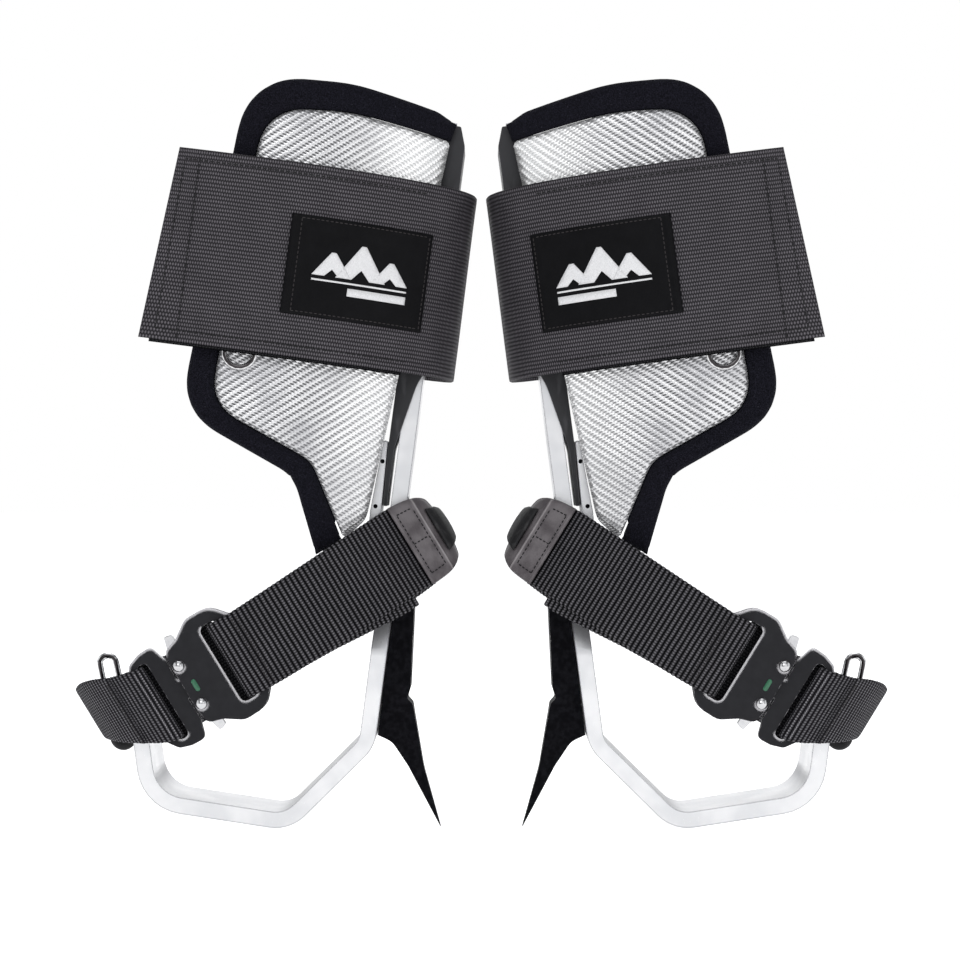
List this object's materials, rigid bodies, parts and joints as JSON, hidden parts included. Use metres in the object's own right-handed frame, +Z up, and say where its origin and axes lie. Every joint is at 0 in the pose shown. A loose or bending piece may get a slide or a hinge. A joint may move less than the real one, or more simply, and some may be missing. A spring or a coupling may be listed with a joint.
{
  "type": "tree climbing spurs",
  "caption": "Pair of arborist climbing spurs: bent aluminium stirrup and shank, screwed-on steel gaff, height-adjustable padded cuff with wide calf strap, ankle strap with quick buckle.",
  "frame": {"origin": "ground level, midway between the two spurs and midway between the foremost and rearmost points", "axes": "+X towards the wearer's left spur, +Y from the front of the spurs to the back, +Z up the leg"},
  "size_m": [0.4214, 0.1236, 0.3885],
  "materials": {
    "aluminium": "brushed satin",
    "black_steel": "satin black on forged steel",
    "bright_steel": "polished",
    "dark_plastic": "satin moulded",
    "silver_weave": "resin-set silver and black twill",
    "loop_tape": "fuzzy loop",
    "webbing": "ribbed nylon",
    "leather": "oiled",
    "black_anodised": "black anodised with worn edges"
  },
  "bodies": {
    "right_spur": {"right_stirrup_shank": "aluminium", "right_gaff": "black_steel", "right_gaff_screw_upper": "bright_steel", "right_gaff_screw_lower": "bright_steel", "right_ankle_strap_front": "webbing", "right_ankle_strap_rear": "webbing", "right_strap_guard": "leather", "right_guard_pad": "dark_plastic", "right_buckle_front_plate": "black_anodised", "right_buckle_back_plate": "black_anodised", "right_buckle_rivet_upper": "bright_steel", "right_buckle_rivet_lower": "bright_steel"},
    "right_cuff": {"right_cuff_carrier": "dark_plastic", "right_carrier_bolt_upper": "bright_steel", "right_carrier_bolt_lower": "bright_steel", "right_cuff_bracket": "aluminium", "right_cuff_shell": "silver_weave", "right_cuff_binding": "loop_tape", "right_cuff_pad": "loop_tape", "right_calf_strap_root": "webbing", "right_ring_chape": "webbing"},
    "right_calf_flap": {"right_calf_strap_flap": "webbing", "right_label_patch": "webbing"},
    "right_cuff_ring": {"right_strap_ring": "bright_steel"},
    "right_tongue": {"right_buckle_tongue": "black_anodised", "right_ankle_strap_tail": "webbing"},
    "right_latch_upper": {"right_buckle_latch_upper": "bright_steel"},
    "right_latch_lower": {"right_buckle_latch_lower": "bright_steel"},
    "right_adjuster": {"right_adjuster_bar": "bright_steel"},
    "right_ring": {"right_outer_ring": "bright_steel"},
    "left_spur": {"left_stirrup_shank": "aluminium", "left_gaff": "black_steel", "left_gaff_screw_upper": "bright_steel", "left_gaff_screw_lower": "bright_steel", "left_ankle_strap_front": "webbing", "left_ankle_strap_rear": "webbing", "left_strap_guard": "leather", "left_guard_pad": "dark_plastic", "left_buckle_front_plate": "black_anodised", "left_buckle_back_plate": "black_anodised", "left_buckle_rivet_upper": "bright_steel", "left_buckle_rivet_lower": "bright_steel"},
    "left_cuff": {"left_cuff_carrier": "dark_plastic", "left_carrier_bolt_upper": "bright_steel", "left_carrier_bolt_lower": "bright_steel", "left_cuff_bracket": "aluminium", "left_cuff_shell": "silver_weave", "left_cuff_binding": "loop_tape", "left_cuff_pad": "loop_tape", "left_calf_strap_root": "webbing", "left_ring_chape": "webbing"},
    "left_calf_flap": {"left_calf_strap_flap": "webbing", "left_label_patch": "webbing"},
    "left_cuff_ring": {"left_strap_ring": "bright_steel"},
    "left_tongue": {"left_buckle_tongue": "black_anodised", "left_ankle_strap_tail": "webbing"},
    "left_latch_upper": {"left_buckle_latch_upper": "bright_steel"},
    "left_latch_lower": {"left_buckle_latch_lower": "bright_steel"},
    "left_adjuster": {"left_adjuster_bar": "bright_steel"},
    "left_ring": {"left_outer_ring": "bright_steel"}
  },
  "joints": [
    {"name": "right_cuff_height", "type": "slide", "parent": "right_spur", "child": "right_cuff", "axis": [0.1305, 0, 0.9914], "range_m": [0, 0.045]},
    {"name": "right_calf_strap_open", "type": "hinge", "parent": "right_cuff", "child": "right_calf_flap", "pos_m": [-0.02115, -0.02789, 0.2856], "axis": [0.1305, 0, 0.9914], "range_deg": [0, 70]},
    {"name": "right_cuff_ring_swing", "type": "hinge", "parent": "right_cuff", "child": "right_cuff_ring", "pos_m": [-0.10957, -0.05094, 0.29129], "axis": [0.1305, 0, 0.9914], "range_deg": [0, 35]},
    {"name": "right_buckle_release", "type": "slide", "parent": "right_spur", "child": "right_tongue", "axis": [-0.8526, 0, -0.5225], "range_m": [0, 0.022], "deforming": ["right_ankle_strap_tail"]},
    {"name": "right_latch_upper_press", "type": "hinge", "parent": "right_spur", "child": "right_latch_upper", "pos_m": [-0.15366, -0.05214, 0.08884], "axis": [0, -1, 0], "range_deg": [0, 8]},
    {"name": "right_latch_lower_press", "type": "hinge", "parent": "right_spur", "child": "right_latch_lower", "pos_m": [-0.14206, -0.05214, 0.06991], "axis": [0, 1, 0], "range_deg": [0, 8]},
    {"name": "right_adjuster_slide", "type": "slide", "parent": "right_spur", "child": "right_adjuster", "axis": [0.8526, 0, 0.5225], "range_m": [0, 0.002]},
    {"name": "right_outer_ring_swing", "type": "hinge", "parent": "right_spur", "child": "right_ring", "pos_m": [-0.1878, 0.00011, 0.05894], "axis": [-0.2079, 0, 0.9781], "range_deg": [-8, 8]},
    {"name": "left_spur_lift_away", "type": "slide", "parent": "right_spur", "child": "left_spur", "axis": [1, 0, 0], "range_m": [0, 0.15]},
    {"name": "left_cuff_height", "type": "slide", "parent": "left_spur", "child": "left_cuff", "axis": [-0.1305, 0, 0.9914], "range_m": [0, 0.045]},
    {"name": "left_calf_strap_open", "type": "hinge", "parent": "left_cuff", "child": "left_calf_flap", "pos_m": [0.02115, -0.02789, 0.2856], "axis": [0.1305, 0, -0.9914], "range_deg": [0, 70]},
    {"name": "left_cuff_ring_swing", "type": "hinge", "parent": "left_cuff", "child": "left_cuff_ring", "pos_m": [0.10957, -0.05094, 0.29129], "axis": [0.1305, 0, -0.9914], "range_deg": [0, 35]},
    {"name": "left_buckle_release", "type": "slide", "parent": "left_spur", "child": "left_tongue", "axis": [0.8526, 0, -0.5225], "range_m": [0, 0.022], "deforming": ["left_ankle_strap_tail"]},
    {"name": "left_latch_upper_press", "type": "hinge", "parent": "left_spur", "child": "left_latch_upper", "pos_m": [0.15366, -0.05214, 0.08884], "axis": [0, 1, 0], "range_deg": [0, 8]},
    {"name": "left_latch_lower_press", "type": "hinge", "parent": "left_spur", "child": "left_latch_lower", "pos_m": [0.14206, -0.05214, 0.06991], "axis": [0, -1, 0], "range_deg": [0, 8]},
    {"name": "left_adjuster_slide", "type": "slide", "parent": "left_spur", "child": "left_adjuster", "axis": [-0.8526, 0, 0.5225], "range_m": [0, 0.002]},
    {"name": "left_outer_ring_swing", "type": "hinge", "parent": "left_spur", "child": "left_ring", "pos_m": [0.1878, 0.00011, 0.05894], "axis": [-0.2079, 0, -0.9781], "range_deg": [-8, 8]}
  ],
  "couplings": [
    {"joint": "right_cuff_ring_swing", "follows": "right_calf_strap_open", "ratio": 0.5},
    {"joint": "left_cuff_ring_swing", "follows": "left_calf_strap_open", "ratio": 0.5}
  ]
}
